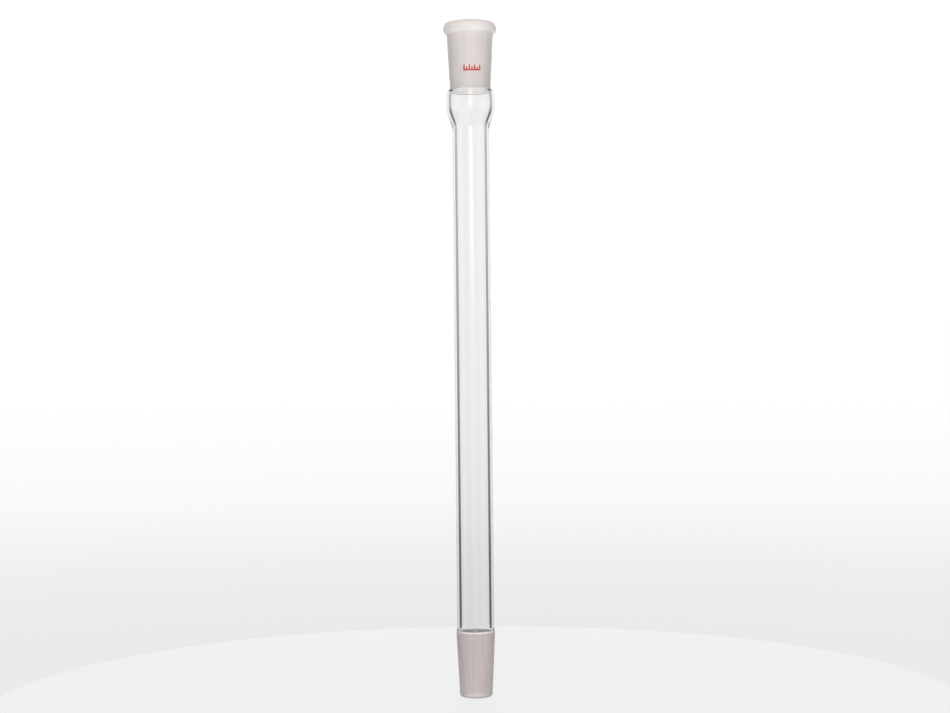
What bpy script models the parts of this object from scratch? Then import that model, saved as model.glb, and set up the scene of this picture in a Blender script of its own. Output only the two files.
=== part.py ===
"""Jointed glass column for lab glassware: a 24/40 ground socket and a drip bulb on top, a plain 300 mm
tube, and a 24/40 ground cone at the bottom.

The frame is the column's own: the origin is on the axis at the cone's lower end, and +Z runs up the axis.
The glass is turned from four lengths, the ones a glassblower seals together, with a small gap at each seal.
"""

import math

import bmesh
import bpy

MM = 0.001

# The standard 24/40 taper: 24 mm at its wide end, 40 mm long, 1 mm of diameter for each 10 mm of length.
JOINT_WIDE_RADIUS = 12.0 * MM
JOINT_LENGTH = 40.0 * MM
JOINT_SLOPE = 0.05
JOINT_NARROW_RADIUS = JOINT_WIDE_RADIUS - JOINT_SLOPE * JOINT_LENGTH

# The tube between the two joints.
TUBE_RADIUS = 11.5 * MM
TUBE_WALL = 2.7 * MM
TUBE_LENGTH = 300.0 * MM

# The cone: its wall, its rounded tip, and the shoulder and stem that lead from it to the tube.
CONE_WALL = 2.3 * MM
CONE_TIP_ROUND = 1.5 * MM
SHOULDER_HEIGHT = 2.8 * MM
BORE_FLARE_HEIGHT = 6.0 * MM
CONE_STEM = 12.0 * MM

# The bulb under the socket.
BULB_HEIGHT = 24.0 * MM
BULB_RADIUS = 15.2 * MM
BULB_WALL = 3.0 * MM
BULB_WIDEST = 0.70
BULB_FLAT = 0.08
BULB_NECK_RADIUS = 13.4 * MM
NECK_HEIGHT = 3.2 * MM

# The socket: its wall, and the rolled bead round its mouth.
SOCKET_WALL = 2.6 * MM
RIM_HEIGHT = 1.5 * MM
RIM_FLAT_INNER = 12.9 * MM
RIM_FLAT_OUTER = 14.3 * MM
BEAD_RADIUS = 16.5 * MM
BEAD_DROP = 4.2 * MM
BEAD_UNDERSIDE = 2.0 * MM
FILLET_HEIGHT = 2.2 * MM
FILLET_DEPTH = 0.6 * MM

# A red enamel scale fired on the front of the socket: ticks on a base line, every second tick shorter.
MARK_WIDTH = 10.6 * MM
MARK_HEIGHT = 3.6 * MM
MARK_THICKNESS = 0.2 * MM
MARK_GAP = 0.3 * MM
MARK_ABOVE_SOCKET_BASE = 12.0 * MM
MARK_TICKS = 7
MARK_LEVELS = (0.0, 0.25, 0.65, 1.0)

TURN_STEPS = 64
CURVE_STEPS = 8
SEAL_GAP = 0.3 * MM
MERGE_DISTANCE = 0.00001

CONE_SHOULDER_Z = JOINT_LENGTH
TUBE_BASE_Z = JOINT_LENGTH + CONE_STEM
BULB_BASE_Z = TUBE_BASE_Z + TUBE_LENGTH
SOCKET_BASE_Z = BULB_BASE_Z + BULB_HEIGHT
SOCKET_MOUTH_Z = SOCKET_BASE_Z + JOINT_LENGTH
TOP_Z = SOCKET_MOUTH_Z + RIM_HEIGHT
TUBE_BORE = TUBE_RADIUS - TUBE_WALL

COLOURS = {
    "clear_glass": ((0.93, 0.95, 0.95), 0.02, 1.0),
    "ground_glass": ((0.86, 0.84, 0.82), 0.60, 1.0),
    "red_enamel": ((0.70, 0.09, 0.06), 0.35, 0.0),
}
GLASS_IOR = 1.473


def clear_scene():
    for thing in list(bpy.data.objects):
        bpy.data.objects.remove(thing, do_unlink=True)


def material(name):
    made = bpy.data.materials.get(name)
    if made is not None:
        return made
    colour, roughness, transmission = COLOURS[name]
    made = bpy.data.materials.new(name)
    made.use_nodes = True
    shader = made.node_tree.nodes["Principled BSDF"]
    shader.inputs["Base Color"].default_value = (*colour, 1.0)
    shader.inputs["Metallic"].default_value = 0.0
    shader.inputs["Roughness"].default_value = roughness
    shader.inputs["Transmission Weight"].default_value = transmission
    shader.inputs["IOR"].default_value = GLASS_IOR
    return made


def put_in(collection, name, mesh, material_name):
    thing = bpy.data.objects.new(name, mesh)
    collection.objects.link(thing)
    mesh.materials.append(material(material_name))
    return thing


# Profile pieces. Each gives (radius, height) points, both ends included.


def eased(start, end, steps=CURVE_STEPS):
    """An S-curve that runs along the axis at both of its ends."""
    points = []
    for i in range(steps + 1):
        t = i / steps
        blend = (1 - math.cos(math.pi * t)) / 2
        points.append((start[0] + (end[0] - start[0]) * blend, start[1] + (end[1] - start[1]) * t))
    return points


def quarter(start, end, steps=CURVE_STEPS):
    """A quarter of an ellipse, which runs along the axis at start and across it at end."""
    points = []
    for i in range(steps + 1):
        angle = math.pi / 2 * i / steps
        across = 1 - math.cos(angle)
        along = math.sin(angle)
        points.append((start[0] + (end[0] - start[0]) * across, start[1] + (end[1] - start[1]) * along))
    return points


def chain(*pieces):
    """One run of points from several, leaving out a point that repeats the one before it."""
    joined = []
    for piece in pieces:
        for point in piece:
            if not joined or math.dist(point, joined[-1]) > MERGE_DISTANCE:
                joined.append(point)
    return joined


def turned(collection, name, outer, inner, material_name):
    """A round wall: the outer outline from top to bottom, then the inner one from bottom to top."""
    loop = chain(outer, inner)
    mesh = bpy.data.meshes.new(name)
    edges = [(i, (i + 1) % len(loop)) for i in range(len(loop))]
    mesh.from_pydata([(radius, 0.0, height) for radius, height in loop], edges, [])
    thing = put_in(collection, name, mesh, material_name)
    screw = thing.modifiers.new("turn", "SCREW")
    screw.axis = "Z"
    screw.steps = TURN_STEPS
    screw.render_steps = TURN_STEPS
    screw.use_merge_vertices = True
    screw.merge_threshold = MERGE_DISTANCE
    screw.use_smooth_shade = True
    return thing


def cone_joint(collection):
    """The ground cone with its shoulder and the stem that the tube is sealed to."""
    top = TUBE_BASE_Z - SEAL_GAP / 2
    tip_radius = JOINT_NARROW_RADIUS + JOINT_SLOPE * CONE_TIP_ROUND
    tip_flat = JOINT_NARROW_RADIUS - CONE_TIP_ROUND
    shoulder_top = CONE_SHOULDER_Z + SHOULDER_HEIGHT
    outer = chain(
        [(TUBE_RADIUS, top)],
        eased((TUBE_RADIUS, shoulder_top), (JOINT_WIDE_RADIUS, CONE_SHOULDER_Z)),
        quarter((tip_radius, CONE_TIP_ROUND), (tip_flat, 0.0)),
    )
    bore_at_shoulder = JOINT_WIDE_RADIUS - CONE_WALL
    bore_at_tip = JOINT_NARROW_RADIUS - CONE_WALL
    inner = chain(
        [(bore_at_tip, 0.0)],
        eased((bore_at_shoulder, CONE_SHOULDER_Z), (TUBE_BORE, CONE_SHOULDER_Z + BORE_FLARE_HEIGHT)),
        [(TUBE_BORE, top)],
    )
    return turned(collection, "cone_joint", outer, inner, "ground_glass")


def column_tube(collection):
    low = TUBE_BASE_Z + SEAL_GAP / 2
    high = BULB_BASE_Z - SEAL_GAP / 2
    outer = [(TUBE_RADIUS, high), (TUBE_RADIUS, low)]
    inner = [(TUBE_BORE, low), (TUBE_BORE, high)]
    return turned(collection, "column_tube", outer, inner, "clear_glass")


def bulb_side(base_radius, widest_radius, neck_radius):
    """One side of the bulb, from its foot up to its widest part and then in to the neck."""
    low = BULB_BASE_Z + SEAL_GAP / 2
    high = SOCKET_BASE_Z - SEAL_GAP / 2
    widest_low = low + (BULB_WIDEST - BULB_FLAT) * BULB_HEIGHT
    widest_high = low + (BULB_WIDEST + BULB_FLAT) * BULB_HEIGHT
    return chain(
        eased((base_radius, low), (widest_radius, widest_low)),
        quarter((widest_radius, widest_high), (neck_radius, high)),
    )


def drip_bulb(collection):
    """The bulb that joins the socket's narrow end to the tube."""
    outside = bulb_side(TUBE_RADIUS, BULB_RADIUS, BULB_NECK_RADIUS)
    inside = bulb_side(TUBE_BORE, BULB_RADIUS - BULB_WALL, JOINT_NARROW_RADIUS)
    return turned(collection, "drip_bulb", outside[::-1], inside, "clear_glass")


def socket_wall_radius(height):
    return JOINT_NARROW_RADIUS + SOCKET_WALL + JOINT_SLOPE * (height - SOCKET_BASE_Z)


def socket_joint(collection):
    """The ground socket, with a rolled bead round its mouth and a flat rim on top."""
    low = SOCKET_BASE_Z + SEAL_GAP / 2
    widest = TOP_Z - BEAD_DROP
    underside = widest - BEAD_UNDERSIDE
    fillet_foot = underside - FILLET_HEIGHT
    under_bead = socket_wall_radius(underside) + FILLET_DEPTH
    waist = SOCKET_BASE_Z + NECK_HEIGHT
    outer = chain(
        quarter((BEAD_RADIUS, widest), (RIM_FLAT_OUTER, TOP_Z))[::-1],
        quarter((BEAD_RADIUS, widest), (under_bead, underside)),
        quarter((socket_wall_radius(fillet_foot), fillet_foot), (under_bead, underside))[::-1],
        eased((socket_wall_radius(waist), waist), (BULB_NECK_RADIUS, low)),
    )
    inner = [
        (JOINT_NARROW_RADIUS, low),
        (JOINT_WIDE_RADIUS, SOCKET_MOUTH_Z),
        (RIM_FLAT_INNER, TOP_Z),
    ]
    return turned(collection, "socket_joint", outer, inner, "ground_glass")


def index_mark(collection):
    """The scale: a thin curved comb that lies against the front of the socket."""
    columns = 2 * MARK_TICKS - 1
    rows = len(MARK_LEVELS) - 1
    low = SOCKET_BASE_Z + MARK_ABOVE_SOCKET_BASE - MARK_HEIGHT / 2
    shape = bmesh.new()
    bmesh.ops.create_grid(shape, x_segments=columns, y_segments=rows, size=0.5)
    spare = []
    for face in shape.faces:
        centre = face.calc_center_median()
        column = int((centre.x + 0.5) * columns)
        row = int((centre.y + 0.5) * rows)
        between_ticks = column % 2 == 1 and row > 0
        over_short_tick = column % 4 == 2 and row == rows - 1
        if between_ticks or over_short_tick:
            spare.append(face)
    bmesh.ops.delete(shape, geom=spare, context="FACES")
    for vertex in shape.verts:
        level = round((vertex.co.y + 0.5) * rows)
        height = low + MARK_LEVELS[level] * MARK_HEIGHT
        radius = socket_wall_radius(height) + MARK_GAP
        angle = vertex.co.x * MARK_WIDTH / radius
        vertex.co = (radius * math.sin(angle), -radius * math.cos(angle), height)
    mesh = bpy.data.meshes.new("index_mark")
    shape.to_mesh(mesh)
    shape.free()
    thing = put_in(collection, "index_mark", mesh, "red_enamel")
    shell = thing.modifiers.new("thickness", "SOLIDIFY")
    shell.thickness = MARK_THICKNESS
    shell.offset = 1.0
    return thing


def main():
    clear_scene()
    collection = bpy.data.collections.new("jointed_glass_column")
    bpy.context.scene.collection.children.link(collection)
    cone_joint(collection)
    column_tube(collection)
    drip_bulb(collection)
    socket_joint(collection)
    index_mark(collection)


main()
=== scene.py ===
"""The looks of the jointed glass column: its glass walls, ground faces and red scale.

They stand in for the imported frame's nodes, and take their heights and outside radii from them. Lengths are
in metres, and the column's axis is the Z axis.
"""

import math

import bpy
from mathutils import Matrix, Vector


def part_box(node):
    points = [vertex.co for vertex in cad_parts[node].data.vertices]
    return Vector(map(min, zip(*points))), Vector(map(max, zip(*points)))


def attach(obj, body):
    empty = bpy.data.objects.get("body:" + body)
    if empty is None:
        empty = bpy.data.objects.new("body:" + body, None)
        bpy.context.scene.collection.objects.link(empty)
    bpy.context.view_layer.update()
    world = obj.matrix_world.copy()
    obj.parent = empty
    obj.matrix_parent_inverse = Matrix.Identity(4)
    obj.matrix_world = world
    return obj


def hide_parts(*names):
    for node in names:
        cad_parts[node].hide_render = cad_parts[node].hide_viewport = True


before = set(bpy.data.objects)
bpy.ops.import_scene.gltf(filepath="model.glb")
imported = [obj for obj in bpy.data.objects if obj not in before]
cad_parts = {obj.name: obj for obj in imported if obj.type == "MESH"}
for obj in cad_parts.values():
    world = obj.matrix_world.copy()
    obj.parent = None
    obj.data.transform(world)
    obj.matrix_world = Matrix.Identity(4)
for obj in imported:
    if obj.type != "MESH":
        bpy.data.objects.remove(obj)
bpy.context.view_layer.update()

MM = 0.001

# Where the frame's pieces meet. Neighbours leave a small gap, and the glass seals are at the middle of it.
CONE_LOW, CONE_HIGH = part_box("cone_joint")
TUBE_LOW, TUBE_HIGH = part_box("column_tube")
BULB_LOW, BULB_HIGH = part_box("drip_bulb")
SOCKET_LOW, SOCKET_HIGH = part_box("socket_joint")
MARK_LOW, MARK_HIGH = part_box("index_mark")
FOOT_Z = CONE_LOW.z
CONE_SEAL_Z = (CONE_HIGH.z + TUBE_LOW.z) / 2
BULB_SEAL_Z = (TUBE_HIGH.z + BULB_LOW.z) / 2
SOCKET_SEAL_Z = (BULB_HIGH.z + SOCKET_LOW.z) / 2
TOP_Z = SOCKET_HIGH.z

# The outside radii, from the same boxes.
CONE_WIDE = CONE_HIGH.x
TUBE_OUTSIDE = TUBE_HIGH.x
BULB_OUTSIDE = BULB_HIGH.x
BEAD_OUTSIDE = SOCKET_HIGH.x

# The 24/40 taper, the same on the cone's outside and in the socket's bore.
TAPER_LENGTH = 40.0 * MM
TAPER_SLOPE = 0.05
TAPER_NARROW = CONE_WIDE - TAPER_SLOPE * TAPER_LENGTH
CONE_TOP_Z = FOOT_Z + TAPER_LENGTH
MOUTH_Z = SOCKET_SEAL_Z + TAPER_LENGTH

# The cone's wall, rounded tip, shoulder and bore.
CONE_WALL = 2.3 * MM
TIP_ROUND = 1.5 * MM
SHOULDER_HEIGHT = 2.8 * MM
BORE_FLARE = 5.0 * MM

# The frosted edge above the cone's ground face, and the milky band in the bore behind it, counted in steps
# of the shoulder and of the bore's flare.
FROST_STEPS = 6
MILKY_STEPS = 11

# Fine rings left where the grinding tool stops.
RING_HALF_WIDTH = 0.20 * MM
RING_DEPTH = 0.11 * MM
CONE_RING_Z = CONE_TOP_Z - 2.0 * MM
SOCKET_RING_Z = TOP_Z - 11.0 * MM

# The tube's bore, and the bulb. The bulb is widest between two parts of its height.
TUBE_BORE = TUBE_OUTSIDE - 2.7 * MM
BULB_WALL = 3.0 * MM
BULB_WIDE_LOW = 0.58
BULB_WIDE_HIGH = 0.76
NECK_REACH = 0.7 * MM
NECK_HEIGHT = 2.2 * MM
BULB_FULLNESS = 0.83

# The socket's wall and its rolled bead.
SOCKET_WALL = 2.6 * MM
RIM_FLAT_INNER = 12.9 * MM
RIM_FLAT_OUTER = 14.3 * MM
BEAD_DROP = 4.2 * MM
BEAD_UNDERSIDE = 2.0 * MM
FILLET_HEIGHT = 2.2 * MM
FILLET_DEPTH = 0.6 * MM

# The printed scale. Its levels are the base line's foot and top, and the tops of the short and long ticks.
MARK_TICKS = 7
MARK_LEVELS = (0.0, 0.25, 0.65, 1.0)
PRINT_LIFT = 0.02 * MM
PRINT_THICKNESS = 0.06 * MM
PRINT_FINENESS = 4

# The waves of hand-worked glass: how deep they are, and how many bulb heights they reach. Each wave has a
# number of lobes round the axis, a pitch along it, a strength and a phase.
WORKED_DEPTH = 0.035 * MM
WORKED_REACH = 0.9
WORKED_WAVES = ((2, 260, 1.0, 0.0), (3, -410, 0.6, 1.1))

# The mesh.
AROUND = 192
CURVE_STEPS = 20
SPACING = 2.0 * MM
TUBE_SPACING = 4.0 * MM
RIM_SPACING = 0.4 * MM
SAME_POINT = 0.001 * MM
SHARP_ANGLE = math.radians(35)

# A piece's surfaces, as places in its list of materials. The socket's outside is satin instead of clear.
CLEAR, GROUND, FROSTED, MILKY = 0, 1, 2, 3
SATIN = 0


# ---- Outlines ----


def eased(start, end, steps=CURVE_STEPS, fullness=1.0):
    """An S-curve that runs along the axis at start and end. A fullness below 1 tightens its start."""
    (r0, z0), (r1, z1) = start, end
    points = []
    for i in range(steps + 1):
        t = i / steps
        blend = (1 - math.cos(math.pi * t**fullness)) / 2
        points.append((r0 + (r1 - r0) * blend, z0 + (z1 - z0) * t))
    return points


def quarter(start, end, steps=CURVE_STEPS):
    """A quarter of an ellipse, which runs along the axis at start and across it at end."""
    (r0, z0), (r1, z1) = start, end
    points = []
    for i in range(steps + 1):
        angle = math.pi / 2 * i / steps
        points.append((r0 + (r1 - r0) * (1 - math.cos(angle)), z0 + (z1 - z0) * math.sin(angle)))
    return points


def straight(start, end, spacing=SPACING):
    """Evenly spaced points from start to end."""
    steps = max(1, round(math.dist(start, end) / spacing))
    return [tuple(a + (b - a) * i / steps for a, b in zip(start, end)) for i in range(steps + 1)]


def ringed(start, end, ring_z, depth):
    """Evenly spaced points from start to end, with one fine groove round them at ring_z."""
    (r0, z0), (r1, z1) = start, end
    radius = r0 + (r1 - r0) * (ring_z - z0) / (z1 - z0)
    below, above = (radius, ring_z - RING_HALF_WIDTH), (radius, ring_z + RING_HALF_WIDTH)
    return straight(start, below) + [(radius + depth, ring_z)] + straight(above, end)


def outline(*runs):
    """Joins (surface, points) runs into one list of points and the surface of each stretch between them."""
    points = []
    surfaces = []
    for surface, run in runs:
        for point in run:
            if points and math.dist(point, points[-1]) < SAME_POINT:
                continue
            if points:
                surfaces.append(surface)
            points.append(point)
    return points, surfaces


def unevenness(angle, height):
    """How far hand-worked glass stands off a true circle: most at the bulb, dying out along the tube."""
    middle = (BULB_LOW.z + BULB_HIGH.z) / 2
    from_bulb = (height - middle) / (WORKED_REACH * (BULB_HIGH.z - BULB_LOW.z))
    worked = math.exp(-2 * from_bulb * from_bulb)
    wave = sum(
        strength * math.sin(lobes * angle + pitch * height + phase)
        for lobes, pitch, strength, phase in WORKED_WAVES
    )
    return WORKED_DEPTH * worked * wave


# ---- Glass pieces ----


def placed(name, data):
    """A new object in the scene."""
    thing = bpy.data.objects.new(name, data)
    bpy.context.scene.collection.objects.link(thing)
    return thing


def stand_in(piece, node):
    """Puts a piece in the place of a frame's node."""
    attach(piece, "root")
    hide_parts(node)


def shell(name, inner, outer, materials):
    """An open turned wall: the inner outline and the outer one, each from the bottom up."""
    vertices = []
    faces = []
    faces_surface = []
    for (points, surfaces), faces_in in ((inner, True), (outer, False)):
        first = len(vertices)
        for radius, height in points:
            for i in range(AROUND):
                angle = 2 * math.pi * i / AROUND
                r = radius + unevenness(angle, height)
                vertices.append((r * math.cos(angle), r * math.sin(angle), height))
        for row, surface in enumerate(surfaces):
            for i in range(AROUND):
                j = (i + 1) % AROUND
                low, high = first + row * AROUND, first + (row + 1) * AROUND
                face = (low + i, low + j, high + j, high + i)
                faces.append(face[::-1] if faces_in else face)
                faces_surface.append(surface)
    mesh = bpy.data.meshes.new(name)
    mesh.from_pydata(vertices, [], faces)
    for made in materials:
        mesh.materials.append(made)
    mesh.polygons.foreach_set("material_index", faces_surface)
    mesh.validate()
    mesh.shade_smooth()
    mesh.set_sharp_from_angle(angle=SHARP_ANGLE)
    return placed(name, mesh)


def socket_outside(height):
    """The socket's outside radius, which follows the taper of its bore."""
    return TAPER_NARROW + SOCKET_WALL + TAPER_SLOPE * (height - SOCKET_SEAL_Z)


def cone_glass(materials):
    """The ground cone with its rounded tip, its shoulder and the stem up to the first seal."""
    tip_radius = TAPER_NARROW + TAPER_SLOPE * TIP_ROUND
    tip_flat = TAPER_NARROW - TIP_ROUND
    tip_bore = TAPER_NARROW - CONE_WALL
    flare_foot = CONE_TOP_Z - BORE_FLARE
    flare_top = CONE_TOP_Z + BORE_FLARE
    wide_bore = CONE_WIDE - CONE_WALL - TAPER_SLOPE * BORE_FLARE
    foot = straight((tip_bore, FOOT_Z), (tip_flat, FOOT_Z), RIM_SPACING)
    tip_top = (tip_radius, FOOT_Z + TIP_ROUND)
    tip = quarter(tip_top, (tip_flat, FOOT_Z))[::-1]
    taper = ringed(tip_top, (CONE_WIDE, CONE_TOP_Z), CONE_RING_Z, -RING_DEPTH)
    shoulder = eased((CONE_WIDE, CONE_TOP_Z), (TUBE_OUTSIDE, CONE_TOP_Z + SHOULDER_HEIGHT))
    stem = straight((TUBE_OUTSIDE, CONE_TOP_Z + SHOULDER_HEIGHT), (TUBE_OUTSIDE, CONE_SEAL_Z))
    bore = straight((tip_bore, FOOT_Z), (wide_bore, flare_foot))
    flare = eased((wide_bore, flare_foot), (TUBE_BORE, flare_top))
    stem_bore = straight((TUBE_BORE, flare_top), (TUBE_BORE, CONE_SEAL_Z))
    inner = outline(
        (CLEAR, bore),
        (MILKY, flare[: MILKY_STEPS + 1]),
        (CLEAR, flare[MILKY_STEPS:]),
        (CLEAR, stem_bore),
    )
    outer = outline(
        (CLEAR, foot),
        (GROUND, tip),
        (GROUND, taper),
        (FROSTED, shoulder[: FROST_STEPS + 1]),
        (CLEAR, shoulder[FROST_STEPS:]),
        (CLEAR, stem),
    )
    return shell("cone_joint_glass", inner, outer, materials)


def tube_glass(materials):
    """The straight tube between the cone's stem and the bulb."""
    inner, outer = (
        outline((CLEAR, straight((radius, CONE_SEAL_Z), (radius, BULB_SEAL_Z), TUBE_SPACING)))
        for radius in (TUBE_BORE, TUBE_OUTSIDE)
    )
    return shell("column_tube_glass", inner, outer, materials)


def bulb_glass(materials):
    """The bulb between the tube and the socket, with the lower half of the neck above it."""
    height = SOCKET_SEAL_Z - BULB_SEAL_Z
    wide_low = BULB_SEAL_Z + BULB_WIDE_LOW * height
    wide_high = BULB_SEAL_Z + BULB_WIDE_HIGH * height
    neck = socket_outside(SOCKET_SEAL_Z) + NECK_REACH
    inside = BULB_OUTSIDE - BULB_WALL
    outer = outline(
        (CLEAR, eased((TUBE_OUTSIDE, BULB_SEAL_Z), (BULB_OUTSIDE, wide_low), fullness=BULB_FULLNESS)),
        (CLEAR, quarter((BULB_OUTSIDE, wide_high), (neck, SOCKET_SEAL_Z))),
    )
    inner = outline(
        (CLEAR, eased((TUBE_BORE, BULB_SEAL_Z), (inside, wide_low))),
        (CLEAR, quarter((inside, wide_high), (TAPER_NARROW, SOCKET_SEAL_Z))),
    )
    return shell("drip_bulb_glass", inner, outer, materials)


def socket_glass(materials):
    """The ground socket, from the upper half of the neck to its rolled bead."""
    widest = TOP_Z - BEAD_DROP
    underside = widest - BEAD_UNDERSIDE
    under_bead = (socket_outside(underside) + FILLET_DEPTH, underside)
    fillet_z = underside - FILLET_HEIGHT
    fillet_foot = (socket_outside(fillet_z), fillet_z)
    waist_z = SOCKET_SEAL_Z + NECK_HEIGHT
    waist = (socket_outside(waist_z), waist_z)
    neck = (socket_outside(SOCKET_SEAL_Z) + NECK_REACH, SOCKET_SEAL_Z)
    outer = outline(
        (SATIN, quarter(waist, neck)[::-1]),
        (SATIN, straight(waist, fillet_foot)),
        (SATIN, quarter(fillet_foot, under_bead)),
        (SATIN, quarter((BEAD_OUTSIDE, widest), under_bead)[::-1]),
        (GROUND, quarter((BEAD_OUTSIDE, widest), (RIM_FLAT_OUTER, TOP_Z))),
    )
    taper = ringed((TAPER_NARROW, SOCKET_SEAL_Z), (CONE_WIDE, MOUTH_Z), SOCKET_RING_Z, RING_DEPTH)
    inner = outline(
        (GROUND, taper),
        (GROUND, straight((CONE_WIDE, MOUTH_Z), (RIM_FLAT_INNER, TOP_Z), RIM_SPACING)),
        (GROUND, straight((RIM_FLAT_INNER, TOP_Z), (RIM_FLAT_OUTER, TOP_Z), RIM_SPACING)),
    )
    return shell("socket_joint_glass", inner, outer, materials)


# ---- The printed scale ----


def scale_print(enamel):
    """The scale as a thin closed comb of enamel, wrapped round the front of the socket."""
    columns = 2 * MARK_TICKS - 1
    rows = len(MARK_LEVELS) - 1
    low, height = MARK_LOW.z, MARK_HIGH.z - MARK_LOW.z
    half_width = MARK_HIGH.x
    vertices = []
    faces = []
    found = {}

    def vertex(i, level):
        if (i, level) not in found:
            z = low + MARK_LEVELS[level] * height
            radius = socket_outside(z) + PRINT_LIFT
            across = half_width * (2 * i / (columns * PRINT_FINENESS) - 1)
            angle = math.asin(across / radius)
            found[i, level] = len(vertices)
            vertices.append((radius * math.sin(angle), -radius * math.cos(angle), z))
        return found[i, level]

    for column in range(columns):
        for row in range(rows):
            between_ticks = column % 2 == 1 and row > 0
            over_short_tick = column % 4 == 2 and row == rows - 1
            if between_ticks or over_short_tick:
                continue
            for i in range(column * PRINT_FINENESS, (column + 1) * PRINT_FINENESS):
                corners = (i, row), (i + 1, row), (i + 1, row + 1), (i, row + 1)
                faces.append([vertex(*corner) for corner in corners])
    mesh = bpy.data.meshes.new("red_scale_print")
    mesh.from_pydata(vertices, [], faces)
    mesh.materials.append(enamel)
    thing = placed("red_scale_print", mesh)
    thick = thing.modifiers.new("enamel", "SOLIDIFY")
    thick.thickness = PRINT_THICKNESS
    thick.offset = 1.0
    return thing


# ---- Materials ----


def new_material(name):
    made = bpy.data.materials.new(name)
    made.use_nodes = True
    return made, made.node_tree, made.node_tree.nodes["Principled BSDF"]


def node(tree, kind, **values):
    """A new node with its settings and its inputs set by name."""
    made = tree.nodes.new(kind)
    for key, value in values.items():
        if hasattr(made, key):
            setattr(made, key, value)
        else:
            made.inputs[key].default_value = value
    return made


def feed(tree, socket, value):
    """Sets an input to a number, or links it to another node's output."""
    if isinstance(value, bpy.types.NodeSocket):
        tree.links.new(value, socket)
    else:
        socket.default_value = value


def math_node(tree, operation, a, b=0.0):
    made = node(tree, "ShaderNodeMath", operation=operation)
    feed(tree, made.inputs[0], a)
    feed(tree, made.inputs[1], b)
    return made.outputs["Value"]


def product(tree, a, b):
    return math_node(tree, "MULTIPLY", a, b)


def mapped(tree, scale):
    """The piece's own coordinates, stretched by scale along each axis."""
    place = node(tree, "ShaderNodeTexCoord")
    stretch = node(tree, "ShaderNodeMapping")
    stretch.inputs["Scale"].default_value = scale
    tree.links.new(place.outputs["Object"], stretch.inputs["Vector"])
    return stretch.outputs["Vector"]


def noise(tree, scale, detail=2.0):
    """Noise with scale ripples a metre along each axis, so a small scale draws it out along that axis."""
    made = node(tree, "ShaderNodeTexNoise", Scale=1.0, Detail=detail)
    tree.links.new(mapped(tree, scale), made.inputs["Vector"])
    return made.outputs["Fac"]


def ramp(tree, value, stops):
    """A colour ramp of grey levels or colours at the given positions."""
    made = tree.nodes.new("ShaderNodeValToRGB")
    elements = made.color_ramp.elements
    while len(elements) < len(stops):
        elements.new(0.5)
    for element, (position, colour) in zip(elements, stops):
        element.position = position
        element.color = (*colour, 1.0) if isinstance(colour, tuple) else (colour, colour, colour, 1.0)
    tree.links.new(value, made.inputs["Fac"])
    return made.outputs["Color"]


def bump(tree, shader, height, strength, distance):
    made = node(tree, "ShaderNodeBump", Strength=strength, Distance=distance)
    tree.links.new(height, made.inputs["Height"])
    tree.links.new(made.outputs["Normal"], shader.inputs["Normal"])


GLASS_IOR = 1.473
CLEAR_TINT = (0.925, 0.917, 0.917)

# Each ground face: its colour, its roughness from smooth to rough spots, how much light passes through it,
# how strongly its grinding rings stand out, and its gloss.
# The cone's tint is painted shade. It is the same ground glass as the socket's, made far darker to stand for
# the dim floor and sides that its matt outer face scatters.
CONE_GROUND_AND_SHADE = {
    "tint": (0.330, 0.290, 0.282),
    "roughness": (0.29, 0.34),
    "clearness": 0.45,
    "relief": 0.03,
}
CONE_FROST = {
    "tint": (0.80, 0.77, 0.76),
    "roughness": (0.40, 0.50),
    "clearness": 0.70,
    "relief": 0.1,
}
CONE_MILKY = {
    "tint": (0.93, 0.895, 0.89),
    "roughness": (0.40, 0.50),
    "clearness": 0.30,
    "relief": 0.1,
}
SOCKET_GROUND = {
    "tint": (0.985, 0.935, 0.905),
    "roughness": (0.55, 0.70),
    "clearness": 0.94,
    "relief": 0.3,
}
SOCKET_SATIN = {
    "tint": (0.975, 0.955, 0.95),
    "roughness": (0.30, 0.35),
    "clearness": 1.0,
    "relief": 0.02,
    "gloss": 1.0,
}

# Ripples a metre along each axis, of the drawing streaks, the streaks and rings of the grinding and the
# clouds in the ink, and how deep each stands.
DRAWN_STREAKS = (900, 900, 6)
DRAWN_STRENGTH = 0.02
GROUND_STREAKS = (800, 800, 8)
STREAK_DARKNESS = 0.10
GROUND_RINGS = (60, 60, 2500)
RING_RELIEF = 0.05 * MM
INK_CLOUDS = (1800, 1800, 1800)
INK_STRENGTH = 0.2
FINE_RELIEF = 0.02 * MM
INK_DARK, INK_LIGHT = (0.16, 0.006, 0.008), (0.23, 0.014, 0.016)
INK_ROUGHNESS = 0.35


def clear_glass():
    """Fire-polished borosilicate glass, with the faint streaks that drawing leaves along a tube."""
    made, tree, shader = new_material("clear_glass")
    shader.inputs["Base Color"].default_value = (*CLEAR_TINT, 1.0)
    shader.inputs["Roughness"].default_value = 0.0
    shader.inputs["IOR"].default_value = GLASS_IOR
    shader.inputs["Transmission Weight"].default_value = 1.0
    bump(tree, shader, noise(tree, DRAWN_STREAKS), DRAWN_STRENGTH, FINE_RELIEF)
    return made


def ground_glass(name, tint, roughness, clearness, relief, gloss=0.5):
    """A face ground matt, or left satin: streaks along it, fine rings round it, and a milky scatter."""
    made, tree, shader = new_material(name)
    shader.inputs["IOR"].default_value = GLASS_IOR
    shader.inputs["Transmission Weight"].default_value = clearness
    shader.inputs["Specular IOR Level"].default_value = gloss
    streaked = tuple(level * (1 - STREAK_DARKNESS) for level in tint)
    colour = ramp(tree, noise(tree, GROUND_STREAKS), [(0.35, streaked), (0.6, tint)])
    tree.links.new(colour, shader.inputs["Base Color"])
    rings = noise(tree, GROUND_RINGS, 4.0)
    smooth, rough = roughness
    tree.links.new(ramp(tree, rings, [(0.3, smooth), (0.7, rough)]), shader.inputs["Roughness"])
    bump(tree, shader, rings, relief, RING_RELIEF)
    return made


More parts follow.
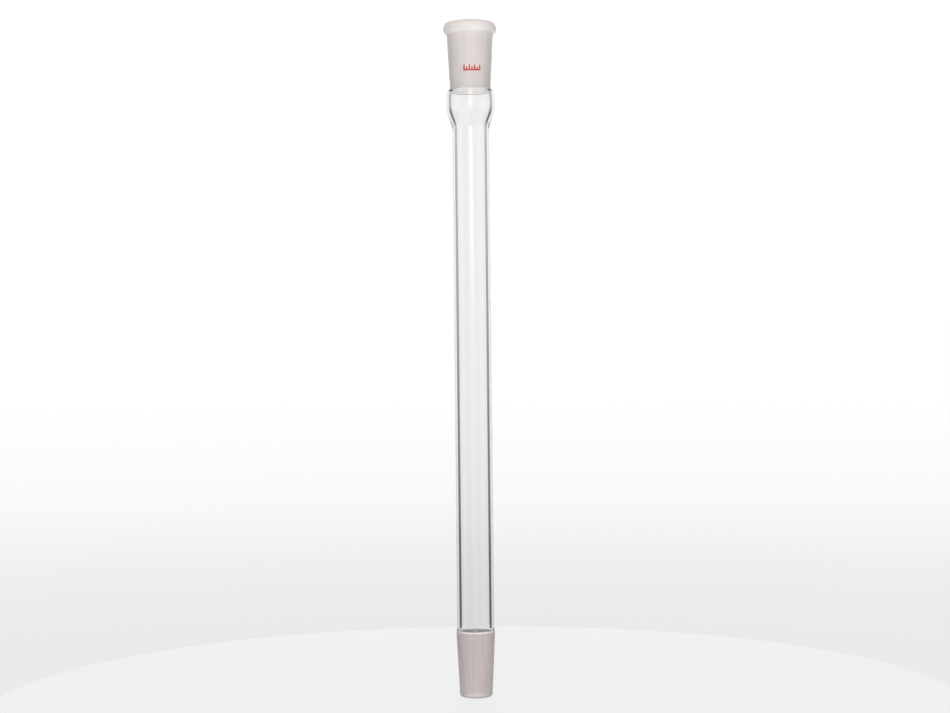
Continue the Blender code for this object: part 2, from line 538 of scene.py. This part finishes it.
def red_enamel():
    """Thin ceramic ink fired onto the glass, a little uneven in its colour."""
    made, tree, shader = new_material("red_enamel")
    clouds = noise(tree, INK_CLOUDS, 3.0)
    colour = ramp(tree, clouds, [(0.3, INK_DARK), (0.7, INK_LIGHT)])
    tree.links.new(colour, shader.inputs["Base Color"])
    shader.inputs["Roughness"].default_value = INK_ROUGHNESS
    bump(tree, shader, clouds, INK_STRENGTH, FINE_RELIEF)
    return made


# ---- The studio ----

CAMERA_DISTANCE = 1.090
CAMERA_HEIGHT = 0.2005
CAMERA_AZIMUTH = math.radians(-5.2)
CAMERA_PITCH = math.radians(0.52)
CAMERA_ROLL = math.radians(0.585)
CAMERA_LENS = 66.5
CAMERA_ASIDE = 1.15 * MM

# The room is round. The floor under the column is a disc, and a pit of the same paleness lies beyond it, so
# that level light goes on past it to the wall. The pit's floor curves up into the wall.
FLOOR_DROP = 0.5 * MM
FLOOR_REACH = 0.30
PIT_REACH = 5.2
WALL_REACH = 6.0
PIT_DEPTH = 1.6
WALL_TOP = 4.0
CEILING = 5.0
CEILING_NARROWS = 0.6
FLOOR_RINGS = 12
COVE_STEPS = 16
ROOM_AROUND = 128
ROOM_PAINT = 0.04
ROOM_GLOW = 1.0
ROOM_ROUGHNESS = 0.9

# Brightness by rise, which is the height above the camera's, over the distance from the axis: straight
# behind the column, and on the grey flags to the sides of that.
RISE_LOW, RISE_HIGH = -0.30, 0.30
BEHIND = [(-0.18, 0.79), (-0.154, 0.80), (-0.127, 0.83), (-0.086, 0.91), (-0.022, 0.965), (0.09, 1.01)]
FLAGGED = [(-0.16, 0.0), (-0.127, 0.01), (-0.086, 0.07), (-0.022, 0.15), (0.105, 0.36), (0.175, 0.46)]

# Each edge is soft, and runs from the first bearing, rise or distance to the second.
FLAG_INNER = (math.radians(28), math.radians(37))
FLAG_OUTER = (math.radians(57), math.radians(75))
FLAG_FOOT = (-0.200, -0.172)

# The side flag stands where a view from +X looks for its far edge. The dark bays, far down the pit at every
# quarter turn, do the same for views from above.
SIDE_FLAG = math.radians(-136)
SIDE_FLAG_HALF_WIDTH = (math.radians(12), math.radians(24))
SIDE_FLAG_LEVEL = 0.45
BAY_HALF_WIDTH = (math.radians(11), math.radians(21))
BAY_RISE = (-0.29, -0.215)
BAY_REACH = (2.2, 3.4)
BAY_LEVEL = 0.20

# The soft window behind the camera, which the glass mirrors along its middle.
WINDOW_HALF_WIDTH = (math.radians(7), math.radians(14))
WINDOW_RISE = (0.01, 0.13)
WINDOW_LEVEL = 1.3

# Each soft light: its name, its place, its size in metres and its power in watts.
SOFT_LIGHTS = (
    ("overhead", (0.0, 0.0, 2.2), 1.2, 3.0),
    ("front", (-0.12, -1.35, 0.45), 0.6, 40.0),
    ("back", (0.12, 1.35, 0.45), 0.6, 40.0),
)

LIGHT_BOUNCES = 20
DIFFUSE_BOUNCES = 2


def between(tree, value, low, high, start=0.0, end=1.0):
    """Runs smoothly from start to end as value goes from low to high."""
    made = node(tree, "ShaderNodeMapRange", interpolation_type="SMOOTHSTEP")
    for socket, number in (("From Min", low), ("From Max", high), ("To Min", start), ("To Max", end)):
        made.inputs[socket].default_value = number
    tree.links.new(value, made.inputs["Value"])
    return made.outputs["Result"]


def level_by_rise(tree, rise, stops):
    """A brightness that follows (rise, level) stops."""
    span = RISE_HIGH - RISE_LOW
    place = math_node(tree, "DIVIDE", math_node(tree, "SUBTRACT", rise, RISE_LOW), span)
    return ramp(tree, place, [((at - RISE_LOW) / span, level) for at, level in stops])


def blended(tree, amount, start, end):
    """A level that goes from start to end with amount, each of them a number or another node's output."""
    made = node(tree, "ShaderNodeMix", data_type="FLOAT")
    factor, low, high = made.inputs[0], made.inputs[2], made.inputs[3]
    for socket, value in ((factor, amount), (low, start), (high, end)):
        feed(tree, socket, value)
    return made.outputs[0]


def room_paint():
    """White behind the column, grey flags to its sides, dark bays and a soft window behind the camera."""
    made, tree, shader = new_material("room")
    shader.inputs["Base Color"].default_value = (ROOM_PAINT, ROOM_PAINT, ROOM_PAINT, 1.0)
    shader.inputs["Roughness"].default_value = ROOM_ROUGHNESS
    shader.inputs["Specular IOR Level"].default_value = 0.0
    place = node(tree, "ShaderNodeTexCoord")
    axes = node(tree, "ShaderNodeSeparateXYZ")
    tree.links.new(place.outputs["Object"], axes.inputs["Vector"])
    x, y, z = axes.outputs["X"], axes.outputs["Y"], axes.outputs["Z"]
    reach = math_node(tree, "SQRT", math_node(tree, "ADD", product(tree, x, x), product(tree, y, y)))
    bearing = math_node(tree, "ARCTAN2", x, y)
    aside = math_node(tree, "ABSOLUTE", math_node(tree, "ADD", bearing, CAMERA_AZIMUTH))
    rise = math_node(tree, "DIVIDE", math_node(tree, "SUBTRACT", z, CAMERA_HEIGHT), reach)

    above_foot = between(tree, rise, *FLAG_FOOT)
    flag = product(tree, between(tree, aside, *FLAG_INNER), between(tree, aside, *FLAG_OUTER, 1, 0))
    flag = product(tree, flag, above_foot)
    level = blended(tree, flag, level_by_rise(tree, rise, BEHIND), level_by_rise(tree, rise, FLAGGED))

    off_side_flag = math_node(tree, "ABSOLUTE", math_node(tree, "SUBTRACT", bearing, SIDE_FLAG))
    side_flag = product(tree, between(tree, off_side_flag, *SIDE_FLAG_HALF_WIDTH, 1, 0), above_foot)
    level = blended(tree, side_flag, level, SIDE_FLAG_LEVEL)

    off_bay = math_node(tree, "PINGPONG", math_node(tree, "ABSOLUTE", bearing), math.pi / 4)
    bay = product(tree, between(tree, off_bay, *BAY_HALF_WIDTH, 1, 0), between(tree, rise, *BAY_RISE, 1, 0))
    bay = product(tree, bay, between(tree, reach, *BAY_REACH))
    level = blended(tree, bay, level, BAY_LEVEL)

    off_window = math_node(tree, "ABSOLUTE", math_node(tree, "SUBTRACT", math.pi, aside))
    window = between(tree, off_window, *WINDOW_HALF_WIDTH, WINDOW_LEVEL, 0)
    window = product(tree, window, between(tree, rise, *WINDOW_RISE))
    level = math_node(tree, "ADD", level, window)
    shader.inputs["Emission Color"].default_value = (1.0, 1.0, 1.0, 1.0)
    tree.links.new(product(tree, level, ROOM_GLOW), shader.inputs["Emission Strength"])
    return made


def room():
    """The floor, the pit, the wall and the ceiling, as one turned surface."""
    cove = WALL_REACH - PIT_REACH
    profile = [(FLOOR_REACH * i / FLOOR_RINGS, 0.0) for i in range(1, FLOOR_RINGS + 1)]
    profile.append((FLOOR_REACH, -PIT_DEPTH))
    for i in range(COVE_STEPS + 1):
        turn = math.pi / 2 * i / COVE_STEPS
        profile.append((PIT_REACH + cove * math.sin(turn), cove * (1 - math.cos(turn)) - PIT_DEPTH))
    profile += [(WALL_REACH, WALL_TOP), (WALL_REACH * CEILING_NARROWS, CEILING), (FLOOR_REACH, CEILING)]
    vertices = []
    for radius, height in profile:
        for i in range(ROOM_AROUND):
            angle = 2 * math.pi * i / ROOM_AROUND
            vertices.append((radius * math.cos(angle), radius * math.sin(angle), height))
    faces = [tuple(range(ROOM_AROUND))]
    for row in range(len(profile) - 1):
        for i in range(ROOM_AROUND):
            j = (i + 1) % ROOM_AROUND
            low, high = row * ROOM_AROUND, (row + 1) * ROOM_AROUND
            faces.append((low + j, low + i, high + i, high + j))
    mesh = bpy.data.meshes.new("room")
    mesh.from_pydata(vertices, [], faces)
    mesh.materials.append(room_paint())
    mesh.shade_smooth()
    mesh.set_sharp_from_angle(angle=SHARP_ANGLE)
    thing = placed("room", mesh)
    thing.location.z = FOOT_Z - FLOOR_DROP


def soft_light(name, place, size, power):
    """A large soft light aimed at the column's middle, which the glass doesn't mirror."""
    light = bpy.data.lights.new(name, "AREA")
    light.size = size
    light.energy = power
    thing = placed(name, light)
    thing.location = place
    middle = (CONE_LOW + SOCKET_HIGH) / 2
    thing.rotation_euler = (middle - thing.location).to_track_quat("-Z", "Y").to_euler()
    thing.visible_camera = False
    thing.visible_glossy = False
    thing.visible_transmission = False


def camera():
    """The camera, fitted to the rings and edges that the photograph shows."""
    data = bpy.data.cameras.new("camera")
    data.lens = CAMERA_LENS
    thing = placed("camera", data)
    yaw = math.atan2(CAMERA_ASIDE, CAMERA_DISTANCE)
    thing.location = (
        CAMERA_DISTANCE * math.sin(CAMERA_AZIMUTH),
        -CAMERA_DISTANCE * math.cos(CAMERA_AZIMUTH),
        FOOT_Z + CAMERA_HEIGHT,
    )
    thing.rotation_euler = (math.pi / 2 + CAMERA_PITCH, CAMERA_ROLL, CAMERA_AZIMUTH - yaw)
    bpy.context.scene.camera = thing


def looks():
    """Plain tones, and enough bounces for light to pass through both walls and back."""
    scene = bpy.context.scene
    scene.view_settings.view_transform = "Standard"
    scene.cycles.max_bounces = LIGHT_BOUNCES
    scene.cycles.transmission_bounces = LIGHT_BOUNCES
    scene.cycles.diffuse_bounces = DIFFUSE_BOUNCES


def main():
    clear = clear_glass()
    # The cone's ground glass carries painted shade in its darker tint.
    cone_ground_and_shade = ground_glass("cone_ground_glass_and_shade", **CONE_GROUND_AND_SHADE)
    socket_ground = ground_glass("socket_ground_glass", **SOCKET_GROUND)
    cone_frost = ground_glass("cone_frosted_glass", **CONE_FROST)
    socket_satin = ground_glass("socket_satin_glass", **SOCKET_SATIN)
    cone_milky = ground_glass("cone_milky_glass", **CONE_MILKY)
    stand_in(cone_glass([clear, cone_ground_and_shade, cone_frost, cone_milky]), "cone_joint")
    stand_in(tube_glass([clear]), "column_tube")
    stand_in(bulb_glass([clear]), "drip_bulb")
    stand_in(socket_glass([socket_satin, socket_ground]), "socket_joint")
    stand_in(scale_print(red_enamel()), "index_mark")
    room()
    for light in SOFT_LIGHTS:
        soft_light(*light)
    camera()
    looks()


main()
